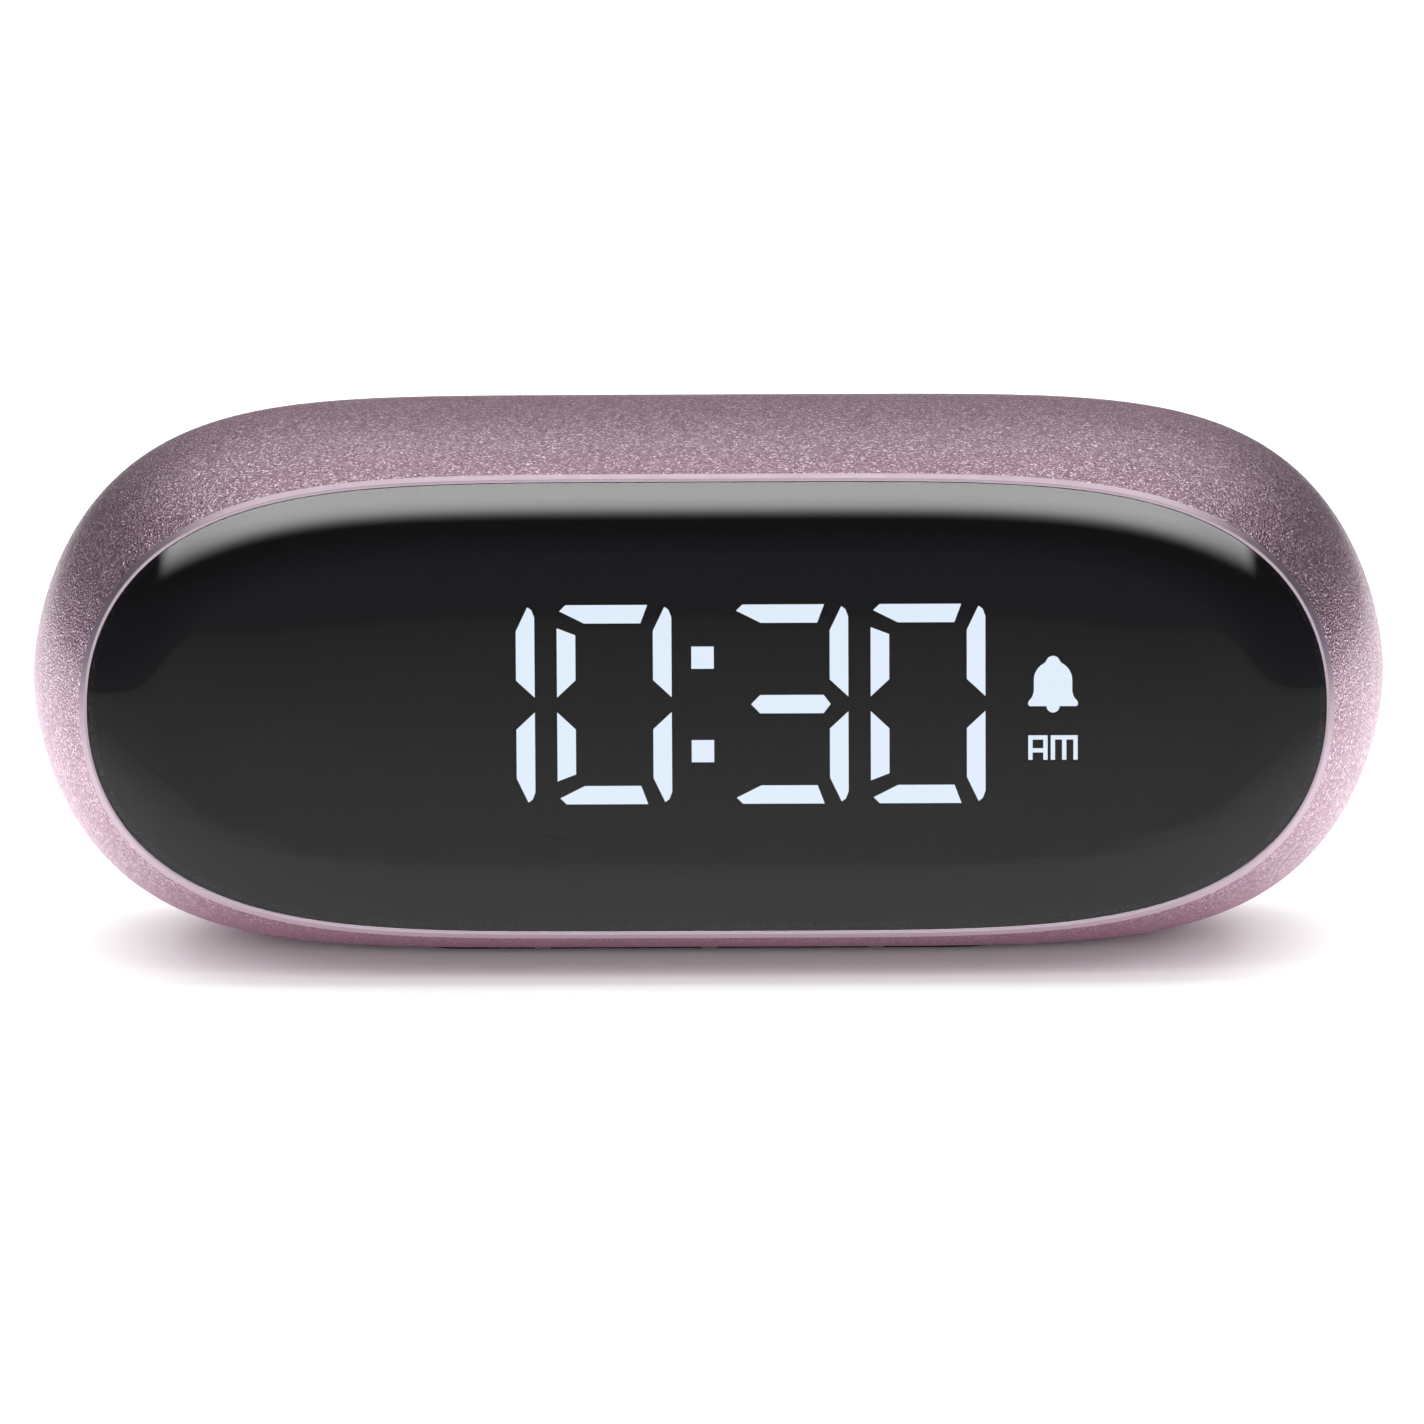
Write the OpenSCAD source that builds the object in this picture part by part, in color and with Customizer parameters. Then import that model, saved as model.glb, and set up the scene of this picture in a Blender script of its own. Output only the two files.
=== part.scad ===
// Pocket digital alarm clock: a barrel-shaped one-piece housing with a domed
// smoked window in front, a screwed rear cover with four keys, a slide switch
// and a charging socket, and the display, boards and battery inside.
// Millimetres. +X is to the right seen from the front, +Y to the back, +Z up.
// The origin is on the table under the middle of the clock.

/* [Housing] */
// Largest width of the housing
body_w = 89; // [84:1:96]
// Largest height of the housing, without the base pad
body_h = 35.7; // [34.5:0.1:38]
// Depth of the housing from rim to rim
shell_d = 34.6; // [34.6:0.2:38]
// Width of the housing across its front and rear rims
rim_w = 80.7; // [80.5:0.1:83]
// Height of the housing across its front and rear rims
rim_h = 30.1; // [30:0.1:31.5]
// Wall thickness of the housing
wall = 2; // [1.6:0.1:2.2]
// How far the base pad stands below the housing
pad_proud = 0.2; // [0.2:0.1:0.6]

/* [Window] */
// How far the window domes out of the front rim
dome_h = 1.7; // [0.8:0.1:2.4]
// Gap between the window and the rim around it
seat_gap = 0.1; // [0.05:0.05:0.2]
// Width of the rim's front edge around the window
rim_edge = 0.35; // [0.25:0.05:0.6]

/* [Display] */
// Height of a digit
digit_h = 13; // [10:0.5:14]
// Width of a digit
digit_w = 7.4; // [6:0.1:7.6]
// Stroke of a digit's segments
stroke = 1.2; // [0.8:0.1:1.4]
// Distance between neighbouring digits of one pair
digit_pitch = 8.84; // [8.6:0.02:9]
// Half the distance between the two digits beside the colon
colon_half = 5.7; // [5.5:0.1:6]

/* [Rear controls] */
// Diameter of the four keys
key_d = 7; // [5:0.5:8]
// Travel of a key
key_travel = 0.4; // [0.2:0.1:0.5]
// Travel of the alarm slide switch
switch_travel = 2; // [1:0.5:2.5]
// How far the keys stand out of the rear cover
key_proud = 1.2; // [0.6:0.1:1.4]

/* [Battery] */
// Length of the battery cell
cell_l = 40; // [30:1:40]
// Height of the battery cell
cell_h = 20; // [16:1:21]
// Thickness of the battery cell
cell_t = 5; // [4:0.5:5]

/* [Hidden] */

$fn = 48;
ring_points = 96;       // points around each outline of the housing
outer_rings = 12;       // steps along the depth of the barrel
dome_rings = 7;         // steps from the window's edge to its middle

half_d = shell_d / 2;
axis_z = pad_proud + body_h / 2;   // height of the housing's long axis

// Outline exponents: |x/a|^p + |z/b|^q = 1, at the middle and at the rims
p_mid = 6.15;
q_mid = 1.76;
p_rim = 4.8;
q_rim = 2.1;

edge_round = 0.15;      // bevel on the outer edges of the rims

// Front stack, from the rim backwards
mask_t = 0.1;
gasket_t = 0.2;
ledge_t = 1.5;
window_back = -half_d + 1;
mask_back = window_back + mask_t;
ledge_y = mask_back + gasket_t;     // front face of the front ledge
ledge_back = ledge_y + ledge_t;
ledge_in = 3.9;         // front ledge's opening, in from the rim outline

// Rear stack
cover_seat = 1.6;
cover_y = half_d - cover_seat;      // inner face of the rear cover
cover_face = half_d + 0.5;          // outer face of the rear cover
rear_ledge_in = 2.1;
rear_ledge_y = cover_y - 1.4;

// Display block
block_w = 56;
block_h = 17.6;
block_y0 = mask_back + 0.1;
block_y1 = block_y0 + 5;
insert_t = 1.4;         // thickness of the translucent segment inserts
led_y = block_y1 - 0.7;
colon_x = -0.25;        // the digits sit a little left of the window's middle
colon_z = 3.05;         // height of the colon's dots from the middle
icon_x = 22.35;         // centre of the column with the bell and the half-day sign
am_half = 1.6;          // half the width of the half-day sign
am_wide = 1.25;         // width of its first letter
am_bar = 0.28;          // thickness of its bars

// Boards
board_t = 1.2;
main_y0 = block_y1;
main_y1 = main_y0 + board_t;
board_in = 4.2;         // main board's outline, in from the rim outline
key_y1 = cover_y - 3.9; // rear face of the key board
key_y0 = key_y1 - board_t;
key_board_w = 59;
key_board_h = 21;

// Chassis
frame_in = 2.7;
frame_wall = 1.2;
floor_y1 = main_y1 + 1.4;
bay_x = 26.2;           // openings in the chassis floor for parts on the main board
post_x = 33;
post_z = 5.5;
post_r = 2.3;
pilot_r = 0.8;
screw_x = 31.6;         // main board screws
screw_z = 4.4;

// Rear layout
key_x = [-19.5, -6.5, 6.5, 19.5];
key_z = 4;
flange_r = key_d / 2 + 0.7;
flange_y1 = cover_y - 0.05;
flange_y0 = flange_y1 - 0.75;
plunger_y = cover_y - 1.6;          // rear end of the switch plungers
case_y = key_y1 + 1.7;              // rear face of the key switch cases
plunger_r = 1.2;
boss_x = 26.5;
boss_z = 8;
boss_r = 2;
usb_z = -7;
usb_w = 8.94;
usb_h = 3.26;
usb_wall = 0.3;
usb_y1 = cover_face - 0.3;
slide_x = -19.5;
slide_z = -6;
slide_y1 = cover_y - 0.3;
buzzer_x = 19.5;
buzzer_z = -5.3;
buzzer_r = 5;
buzzer_y1 = key_y1 + 3.1;
led_x = 9;
reset_x = -9;
pin_z = -7;

// Battery
tape_t = 0.5;
cell_y0 = floor_y1 + tape_t;
cell_y1 = cell_y0 + cell_t;
lead_z = 1.6;
lead_r = 0.5;
plug_x = cell_l / 2 + 4.3;
plug_y1 = main_y1 + 2.2;            // face where the leads enter the plug
ribbon_x = -26.3;
ribbon_w = 8;
socket_t = 1.8;

// Base pad
pad_l = 40;
pad_d = 8;
pad_top = pad_proud + 0.9;

// ---------- outlines ----------

// One closed outline of n points in the XZ plane. The square root moves the points
// away from the nearly straight top and bottom, towards the rounded ends.
function outline(a, b, p, q, n = ring_points) = [
    for (i = [0:n - 1])
        let (
            turn = 360 * i / n,
            across = sign(sin(turn)) * sqrt(abs(sin(turn))),
            up = sign(cos(turn)) * pow(max(0, 1 - pow(abs(across), p)), 1 / q)
        )
        [a * across, b * up]
];

// How far the barrel has swelled at depth y: 0 at the rims, 1 in the middle
function swell(y) = 1 - pow(y / half_d, 2);
function mix(rim, mid, y) = rim + (mid - rim) * swell(y);

// The barrel's section at depth y, taken in by inset
function barrel(y, inset) = lift_ring(y, outline(
    mix(rim_w, body_w, y) / 2 - inset,
    mix(rim_h, body_h, y) / 2 - inset,
    mix(p_rim, p_mid, y),
    mix(q_rim, q_mid, y)
));

// The rim's outline taken in by inset, flat and at depth y
function rim_outline(inset) = outline(rim_w / 2 - inset, rim_h / 2 - inset, p_rim, q_rim);
function rim_ring(y, inset) = lift_ring(y, rim_outline(inset));
function lift_ring(y, ring) = [for (pt = ring) [pt[0], y, pt[1]]];

// Points along an arc about a centre at height z on the middle line
function arc(z, r, from, to, steps = 12) = [
    for (k = [0:steps])
        let (turn = from + (to - from) * k / steps)
        [r * cos(turn), z + r * sin(turn)]
];

// ---------- helpers ----------

// A skin over a list of rings, closed end to end like a tyre, or capped at both ends
module skin(rings, tyre = false) {
    n = len(rings[0]);
    last = len(rings) - 1;
    points = [for (ring = rings) each ring];
    side = [
        for (r = [0:tyre ? last : last - 1], i = [0:n - 1])
            let (j = (i + 1) % n, up = (r + 1) % len(rings))
            each [[r * n + i, up * n + i, up * n + j], [r * n + i, up * n + j, r * n + j]]
    ];
    caps = tyre ? [] : [
        [for (i = [0:n - 1]) i],
        [for (i = [n - 1:-1:0]) last * n + i]
    ];
    polyhedron(points = points, faces = concat(side, caps), convexity = 6);
}

module at_axis() {
    translate([0, 0, axis_z]) children();
}

// A flat XZ shape made solid from y0 to y1
module slab(y0, y1) {
    translate([0, y1, 0]) rotate([90, 0, 0]) linear_extrude(y1 - y0) children();
}

// A round bar along Y
module rod(x, z, r, y0, y1) {
    translate([x, y1, z]) rotate([90, 0, 0]) cylinder(r = r, h = y1 - y0);
}

// A box given by its centre in X and Z and its ends in Y
module block(x, z, w, h, y0, y1) {
    translate([x - w / 2, y0, z - h / 2]) cube([w, y1 - y0, h]);
}

module rounded(w, h, r) {
    offset(r, $fn = 32) square([w - 2 * r, h - 2 * r], center = true);
}

// A slot shape with round ends, w long and h wide
module pill(w, h) {
    square([w - h, h], center = true);
    for (side = [-1, 1]) translate([side * (w - h) / 2, 0]) circle(h / 2);
}

module four(x, z) {
    for (sx = [-1, 1], sz = [-1, 1]) translate([sx * x, 0, sz * z]) children();
}

// ---------- housing ----------

module shell() {
    outer = [
        barrel(-half_d, edge_round),
        for (k = [0:outer_rings])
            let (y = -half_d + edge_round + k * (shell_d - 2 * edge_round) / outer_rings)
            barrel(y, 0),
        barrel(half_d, edge_round)
    ];
    cavity_steps = 8;
    cavity = [
        for (k = [0:cavity_steps])
            let (y = rear_ledge_y + k * (ledge_back - rear_ledge_y) / cavity_steps)
            barrel(y, wall)
    ];
    inner = concat(
        [
            rim_ring(half_d, rim_edge + seat_gap),
            rim_ring(cover_y, rim_edge + seat_gap),
            rim_ring(cover_y, rear_ledge_in),
            rim_ring(rear_ledge_y, rear_ledge_in)
        ],
        cavity,
        [
            rim_ring(ledge_back, ledge_in),
            rim_ring(ledge_y, ledge_in),
            rim_ring(ledge_y, rim_edge),
            rim_ring(-half_d, rim_edge)
        ]
    );
    color("#a98c9b")
        difference() {
            at_axis() skin(concat(outer, inner), tyre = true);
            translate([0, 0, -1]) linear_extrude(pad_top + 1) pill(pad_l, pad_d);
        }
}

module base_pad() {
    bevel = 0.3;
    color("#3c3a3d")
        difference() {
            linear_extrude(pad_top) pill(pad_l - 0.2, pad_d - 0.2);
            // three shallow grip grooves across the underside
            for (x = [-11, 0, 11])
                translate([x - 0.5, -pad_d, -1]) cube([1, 2 * pad_d, 1 + bevel]);
        }
}

// ---------- window ----------

// The domed front face is a stack of outlines that shrink towards the middle
module window() {
    inset0 = rim_edge + seat_gap;
    half_h = rim_h / 2 - inset0;
    front = [
        for (k = [dome_rings:-1:0])
            let (
                turn = 90 * k / (dome_rings + 0.6),
                u = cos(turn),
                y = -half_d - dome_h * sqrt(1 - pow(u, 3))
            )
            rim_ring(y, inset0 + half_h * (1 - u))
    ];
    color([0.08, 0.08, 0.09, 0.6])
        at_axis() skin(concat(front, [rim_ring(window_back, inset0)]));
}

module window_mask() {
    color("#0c0c0d")
        at_axis() slab(window_back, mask_back) difference() {
            polygon(rim_outline(rim_edge + 0.4));
            rounded(block_w - 3, block_h - 2, 1);
        }
}

module window_gasket() {
    color("#17171a")
        at_axis() slab(mask_back, ledge_y) difference() {
            polygon(rim_outline(rim_edge + 0.6));
            polygon(rim_outline(ledge_in - 0.2));
        }
}

// ---------- display ----------

// Outline of one segment in a digit's own frame: left edge x = 0, top z = 0.
// Upper half only: top bar, upper right and upper left; the lower half mirrors it.
function top_bar() = [
    [0.17, -0.4], [0.58, 0], [digit_w - 1.55, 0],
    [digit_w - 2, -stroke], [1.76, -stroke]
];
function upper_right() = [
    [digit_w - 0.45, -0.13], [digit_w - 0.18, -0.32], [digit_w, -0.8],
    [digit_w, -digit_h / 2 + 0.48], [digit_w - stroke, -digit_h / 2 + 1.6],
    [digit_w - stroke, -1.7]
];
function upper_left() = [
    [0, -1.5], [stroke, -1.96], [stroke, -digit_h / 2 + 1.6], [0, -digit_h / 2 + 0.48]
];
function middle_bar() = [
    [1.12, -digit_h / 2], [1.7, -digit_h / 2 + stroke / 2],
    [digit_w - 1.6, -digit_h / 2 + stroke / 2], [digit_w - 1.14, -digit_h / 2],
    [digit_w - 1.6, -digit_h / 2 - stroke / 2], [1.7, -digit_h / 2 - stroke / 2]
];
function flipped(points) = [for (pt = points) [pt[0], -digit_h - pt[1]]];

// The seven segments, in the usual order a to g
SEGMENTS = [
    top_bar(), upper_right(), flipped(upper_right()), flipped(top_bar()),
    flipped(upper_left()), upper_left(), middle_bar()
];
// Which of a to g are lit for 1, 0, 3 and 0
LIT = [
    [0, 1, 1, 0, 0, 0, 0],
    [1, 1, 1, 1, 1, 1, 0],
    [1, 1, 1, 1, 0, 0, 1],
    [1, 1, 1, 1, 1, 1, 0]
];
digit_x = [
    for (offset = [-colon_half - digit_pitch, -colon_half, colon_half, colon_half + digit_pitch])
        colon_x + offset - digit_w / 2
];

// Every segment of the four digits whose state is lit
module digit_segments(lit) {
    for (d = [0:3], s = [0:6])
        if (LIT[d][s] == lit)
            translate([digit_x[d], digit_h / 2]) polygon(SEGMENTS[s]);
}

module colon_shape() {
    size = 1.45;
    for (side = [-1, 1]) translate([colon_x, side * colon_z]) square(size, center = true);
}

// A hand bell in one outline: knob, dome, flared skirt and clapper
module bell_shape() {
    skirt = [[1.5, -1.4], [1.62, -1.28], [1.58, -1.08], [1.35, -0.8], [1.24, -0.45]];
    right = concat(skirt, arc(0.3, 1.24, 4, 64));
    left = [for (k = [len(right) - 1:-1:0]) [-right[k][0], right[k][1]]];
    translate([icon_x, 1.2])
        polygon(concat(arc(-1.4, 0.42, 180, 360), right, arc(1.42, 0.46, 15, 165), left));
}

// The half-day sign, drawn with plain bars
module am_shape() {
    high = 1.6;
    top = -2.1;
    m_left = icon_x - 0.15;
    m_pitch = 0.73;
    translate([icon_x - am_half, top - high]) {
        for (x = [0, am_wide - am_bar]) translate([x, 0]) square([am_bar, high]);
        for (drop = [0, 0.84]) translate([0, high - am_bar - drop]) square([am_wide, am_bar]);
    }
    translate([m_left, top - high]) {
        for (k = [0:2]) translate([k * m_pitch, 0]) square([am_bar, high]);
        translate([0, high - am_bar]) square([2 * m_pitch + am_bar, am_bar]);
    }
}

module display_housing() {
    color("#101012")
        at_axis() difference() {
            slab(block_y0, block_y1) rounded(block_w, block_h, 1.5);
            slab(block_y0 - 1, block_y1 + 1) {
                digit_segments(1);
                digit_segments(0);
                colon_shape();
            }
            slab(block_y0 - 1, block_y0 + 2) {
                bell_shape();
                am_shape();
            }
            // one light well behind both signs, with a rib that carries the
            // small island inside the letter A
            difference() {
                block(icon_x, -0.3, 4.4, 7.4, block_y0 + insert_t, block_y1 + 1);
                block(icon_x - am_half + am_wide / 2, -3, 0.4, 3, block_y0, block_y1 + 2);
            }
        }
}

module segments_lit() {
    color("#e6f0ff") at_axis() slab(block_y0, block_y0 + insert_t) digit_segments(1);
}

module segments_unlit() {
    color("#2c2d31") at_axis() slab(block_y0, block_y0 + insert_t) digit_segments(0);
}

module colon_dots() {
    color("#e6f0ff") at_axis() slab(block_y0, block_y0 + insert_t) colon_shape();
}

module bell_icon() {
    color("#e6f0ff") at_axis() slab(block_y0, block_y0 + insert_t) bell_shape();
}

module am_icon() {
    color("#e6f0ff") at_axis() slab(block_y0, block_y0 + insert_t) am_shape();
}

// One light source under every segment and colon dot
module segment_leds() {
    chip = [0.8, 0.7];
    up_z = digit_h / 4;
    places = [
        for (d = [0:3], at = [
            [digit_w / 2, digit_h / 2 - stroke / 2], [digit_w / 2, 0],
            [digit_w / 2, -digit_h / 2 + stroke / 2],
            [stroke / 2, up_z], [stroke / 2, -up_z],
            [digit_w - stroke / 2, up_z], [digit_w - stroke / 2, -up_z]
        ]) [digit_x[d] + at[0], at[1]],
        [colon_x, colon_z], [colon_x, -colon_z]
    ];
    color("#f4f1d8")
        at_axis() for (at = places)
            block(at[0], at[1], chip[0], chip[1], led_y, main_y0);
}

module icon_leds() {
    color("#f4f1d8")
        at_axis() for (z = [1.2, -2.4]) block(icon_x, z, 1.4, 0.8, led_y, main_y0);
}

// ---------- main board ----------

module main_board() {
    color("#1f5137")
        at_axis() slab(main_y0, main_y1) difference() {
            polygon(rim_outline(board_in));
            for (sx = [-1, 1], sz = [-1, 1])
                translate([sx * screw_x, sz * screw_z]) circle(0.9);
        }
}

module main_board_screws() {
    color("#b9bcc0")
        at_axis() four(screw_x, screw_z) difference() {
            union() {
                rod(0, 0, 1.6, main_y0 - 0.9, main_y0);
                rod(0, 0, 0.78, main_y0, floor_y1 + 2.4);
            }
            cross_recess(main_y0 - 0.9, 0.6);
        }
}

// Cross-shaped driver recess cut into a head from its front side at depth y
module cross_recess(y, deep) {
    for (a = [0, 90])
        rotate([0, a, 0]) block(0, 0, 1.7, 0.4, y - 0.1, y + deep);
}

module processor() {
    side = 5;
    leads = 6;
    pitch = 0.8;
    z = 6.4;
    color("#202124")
        at_axis() {
            block(bay_x, z, side, side, main_y1 + 0.1, main_y1 + 1.3);
            for (k = [0:leads - 1], hand = [-1, 1])
                block(bay_x + hand * (side / 2 + 0.4), z + (k - (leads - 1) / 2) * pitch,
                      0.9, 0.35, main_y1, main_y1 + 0.3);
        }
}

module crystal_can() {
    color("#c9ccd0")
        at_axis() translate([bay_x + 1.6, main_y1 + 1.05, -9.3])
            cylinder(r = 1, h = 5.5);
}

// Resistors and capacitors in two rows on the back of the main board
module small_parts() {
    color("#8c7355")
        at_axis() for (k = [0:5])
            block(-bay_x - 1.3 + (k % 2) * 2.6, -6.4 - floor(k / 2) * 1.1, 1.6, 0.6,
                  main_y1, main_y1 + 0.6);
}

// ---------- chassis ----------

module chassis() {
    color("#d8d9d6")
        at_axis() difference() {
            union() {
                // rim that stands on the front ledge, around the main board
                slab(ledge_back, main_y1) difference() {
                    polygon(rim_outline(frame_in));
                    polygon(rim_outline(frame_in + frame_wall));
                }
                slab(main_y1, floor_y1) polygon(rim_outline(frame_in));
                four(post_x, post_z) rod(0, 0, post_r, floor_y1, cover_y);
                four(screw_x, screw_z) rod(0, 0, 1.7, floor_y1, floor_y1 + 3);
                battery_walls();
            }
            for (side = [-1, 1])
                slab(main_y1 - 1, floor_y1 + 1)
                    translate([side * bay_x, 0]) rounded(7.6, 19.4, 1);
            four(post_x, post_z) rod(0, 0, pilot_r, cover_y - 9, cover_y + 1);
            four(screw_x, screw_z) rod(0, 0, pilot_r, main_y1 - 1, floor_y1 + 4);
            // slot for the touch spring
            block(0, 10, 5, 2.7, main_y1 - 1, floor_y1 + 1);
        }
}

// Low walls that hold the battery's ends, open where the leads come out
module battery_walls() {
    thick = 1;
    for (side = [-1, 1])
        translate([side * (cell_l / 2 + 0.3 + thick / 2), 0, 0]) difference() {
            block(0, 0, thick, cell_h, floor_y1, floor_y1 + 3.5);
            block(0, 0, 2 * thick, 6, floor_y1 + 1, floor_y1 + 5);
        }
}

// ---------- battery ----------

module battery_tape() {
    color("#e8e4da")
        at_axis() block(0, 0, cell_l - 6, cell_h - 5, floor_y1, cell_y0);
}

module battery_cell() {
    color("#8f9aa6")
        at_axis() slab(cell_y0, cell_y1) rounded(cell_l, cell_h, 1);
}

// A lead leaves the cell's end, turns once and enters the plug
module lead(z) {
    bend = 1.6;
    y = cell_y0 + cell_t / 2;
    translate([cell_l / 2, y, z]) {
        rotate([0, 90, 0]) cylinder(r = lead_r, h = plug_x - cell_l / 2 - bend);
        translate([plug_x - cell_l / 2 - bend, -bend, 0])
            rotate_extrude(angle = 90) translate([bend, 0]) circle(lead_r);
    }
    rod(plug_x, z, lead_r, plug_y1, y - bend);
}

module lead_positive() {
    color("#b3262a") at_axis() lead(lead_z);
}

module lead_negative() {
    color("#1b1b1d") at_axis() lead(-lead_z);
}

module lead_plug() {
    color("#e9e6dc") at_axis() block(plug_x, 0, 2.6, 6, main_y1 + 1, plug_y1);
}

module lead_header() {
    color("#ece9df") at_axis() block(plug_x, 0, 3.2, 7, main_y1, main_y1 + 1);
}

// ---------- ribbon ----------

module ribbon_socket_main() {
    color("#ddd8c8") at_axis() block(ribbon_x, 0, 3, 10, main_y1, main_y1 + socket_t);
}

module ribbon_socket_key() {
    color("#ddd8c8") at_axis() block(ribbon_x, 0, 3, 10, key_y0 - socket_t, key_y0);
}

// The flat cable bows once towards the middle between its two sockets
module ribbon_cable() {
    steps = 24;
    bow = 2.4;
    thick = 0.2;
    y0 = main_y1 + socket_t;
    y1 = key_y0 - socket_t;
    mid_line = [
        for (k = [0:steps])
            [ribbon_x + bow * (1 - cos(360 * k / steps)) / 2, y0 + k * (y1 - y0) / steps]
    ];
    strip = concat(
        [for (pt = mid_line) [pt[0] - thick / 2, pt[1]]],
        [for (k = [steps:-1:0]) [mid_line[k][0] + thick / 2, mid_line[k][1]]]
    );
    color("#e7e3d6")
        at_axis() translate([0, 0, -ribbon_w / 2]) linear_extrude(ribbon_w) polygon(strip);
}

// ---------- touch sensor ----------

// Copper sheet bonded under the top of the housing, a patch of the barrel
module touch_electrode() {
    gap = 0.12;
    thick = 0.15;
    rows = 4;
    span = 20;
    columns = span * [-1, -0.75, -0.5, 0, 0.5, 0.75, 1];
    y_from = -7;
    y_to = 7;
    function top_z(x, y, inset) =
        let (
            a = mix(rim_w, body_w, y) / 2 - inset,
            b = mix(rim_h, body_h, y) / 2 - inset
        )
        b * pow(1 - pow(abs(x) / a, mix(p_rim, p_mid, y)), 1 / mix(q_rim, q_mid, y));
    rings = [
        for (r = [0:rows])
            let (y = y_from + r * (y_to - y_from) / rows)
            concat(
                [for (x = columns) [x, y, top_z(x, y, wall + gap)]],
                [for (x = -columns) [x, y, top_z(x, y, wall + gap) - thick]]
            )
    ];
    color("#c27a3e") at_axis() skin(rings);
}

// A bent strip from the top of the main board to the touch electrode
module touch_spring() {
    thick = 0.2;
    start = main_y1;
    side = [
        [start, 9.2], [start, 10.8], [start + 2.2, 10.8], [start + 3.6, 12.4],
        [start + 3.6, 14.4], [start + 4.6, 15.2], [start + 5.4, 14.6],
        [start + 5.3, 14.4], [start + 4.6, 14.9], [start + 3.8, 14.3],
        [start + 3.8, 12.3], [start + 2.3, 10.6], [start + thick, 10.6],
        [start + thick, 9.2]
    ];
    color("#cdb47a")
        at_axis() translate([-1.5, 0, 0]) rotate([90, 0, 90]) linear_extrude(3) polygon(side);
}

// ---------- rear cover ----------

module rear_cover() {
    inset0 = rim_edge + 2 * seat_gap;
    edge = 0.5;
    plate = [
        rim_ring(cover_y, inset0),
        rim_ring(cover_face - 1.5 * edge, inset0),
        rim_ring(cover_face - edge, inset0 + 0.1 * edge),
        rim_ring(cover_face - 0.3 * edge, inset0 + 0.5 * edge),
        rim_ring(cover_face, inset0 + 1.2 * edge)
    ];
    color("#35343a")
        at_axis() difference() {
            union() {
                skin(plate);
                four(boss_x, boss_z) rod(0, 0, boss_r, key_y1, cover_y);
            }
            for (x = key_x) rod(x, key_z, key_d / 2 + 0.15, cover_y - 1, cover_face + 1);
            // dished ring around each key
            for (x = key_x) rod(x, key_z, key_d / 2 + 0.6, cover_face - 0.4, cover_face + 1);
            four(post_x, post_z) rod(0, 0, 1.15, cover_y - 1, cover_face + 1);
            four(post_x, post_z) rod(0, 0, 2.1, cover_face - 1.1, cover_face + 1);
            four(boss_x, boss_z) rod(0, 0, pilot_r, key_y1 - 1, cover_face - 1);
            slab(cover_y - 1, cover_face + 1) {
                translate([0, usb_z]) pill(usb_w + 0.3, usb_h + 0.3);
                translate([slide_x, slide_z]) pill(4 + switch_travel, 2.4);
            }
            slab(cover_face - 0.6, cover_face + 1)
                translate([slide_x, slide_z]) pill(6.6 + switch_travel, 4.2);
            rod(led_x, pin_z, 0.85, cover_y - 1, cover_face + 1);
            rod(reset_x, pin_z, 0.6, cover_y - 1, cover_face + 1);
            for (at = grille_holes())
                rod(buzzer_x + at[0], buzzer_z + at[1], 0.5, cover_y - 1, cover_face + 1);
        }
}

// Nineteen holes: a middle one and two rings of six and twelve
function grille_holes() = [
    [0, 0],
    for (k = [0:5]) 1.6 * [cos(60 * k), sin(60 * k)],
    for (k = [0:11]) 3.1 * [cos(30 * k + 15), sin(30 * k + 15)]
];

module rear_cover_screws() {
    head_y = cover_face - 1.1;
    color("#8e9196")
        at_axis() four(post_x, post_z) difference() {
            union() {
                rod(0, 0, 1.9, head_y, head_y + 0.9);
                rod(0, 0, 0.78, head_y - 7, head_y);
            }
            mirror([0, 1, 0]) cross_recess(-head_y - 0.9, 0.6);
        }
}

// ---------- keys and switches ----------

// Round key with a retaining flange inside the cover and a stem to its switch.
// Its sign is sunk into the face.
module key(k) {
    face = cover_face + key_proud;
    bevel = 0.4;
    icon_deep = 0.25;
    color("#4a484f")
        at_axis() translate([key_x[k], 0, key_z]) difference() {
            union() {
                rod(0, 0, key_d / 2, flange_y1, face - bevel);
                translate([0, face, 0]) rotate([90, 0, 0])
                    cylinder(r1 = key_d / 2 - bevel, r2 = key_d / 2, h = bevel);
                rod(0, 0, flange_r, flange_y0, flange_y1);
                rod(0, 0, 1.5, plunger_y, flange_y0);
            }
            slab(face - icon_deep, face + 1) children();
        }
}

// Signs sunk into the keys: a double arrow, a single arrow, a ring and a bell
module key_hour() {
    key(0) {
        for (z = [-0.8, 0.6]) translate([0, z]) polygon([[-1.2, -0.3], [1.2, -0.3], [0, 0.9]]);
    }
}

module key_minute() {
    key(1) polygon([[-1.3, -0.7], [1.3, -0.7], [0, 0.9]]);
}

module key_set() {
    key(2) difference() {
        circle(1.4);
        circle(0.9);
    }
}

module key_alarm() {
    key(3) {
        translate([0, 0.2]) circle(0.8);
        polygon([[-0.8, 0.2], [0.8, 0.2], [1.2, -0.9], [-1.2, -0.9]]);
        translate([0, -1]) circle(0.35);
    }
}

// Plunger of one key switch, which slides in its case
module plunger(k) {
    color("#d9d6cd") at_axis() rod(key_x[k], key_z, plunger_r, key_y1 + 0.6, plunger_y);
}

module key_switch_cases() {
    side = 4.5;
    color("#24262b")
        at_axis() for (x = key_x) difference() {
            block(x, key_z, side, side, key_y1, case_y);
            rod(x, key_z, plunger_r + 0.05, key_y1 + 0.1, case_y + 1);
        }
}

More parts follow.
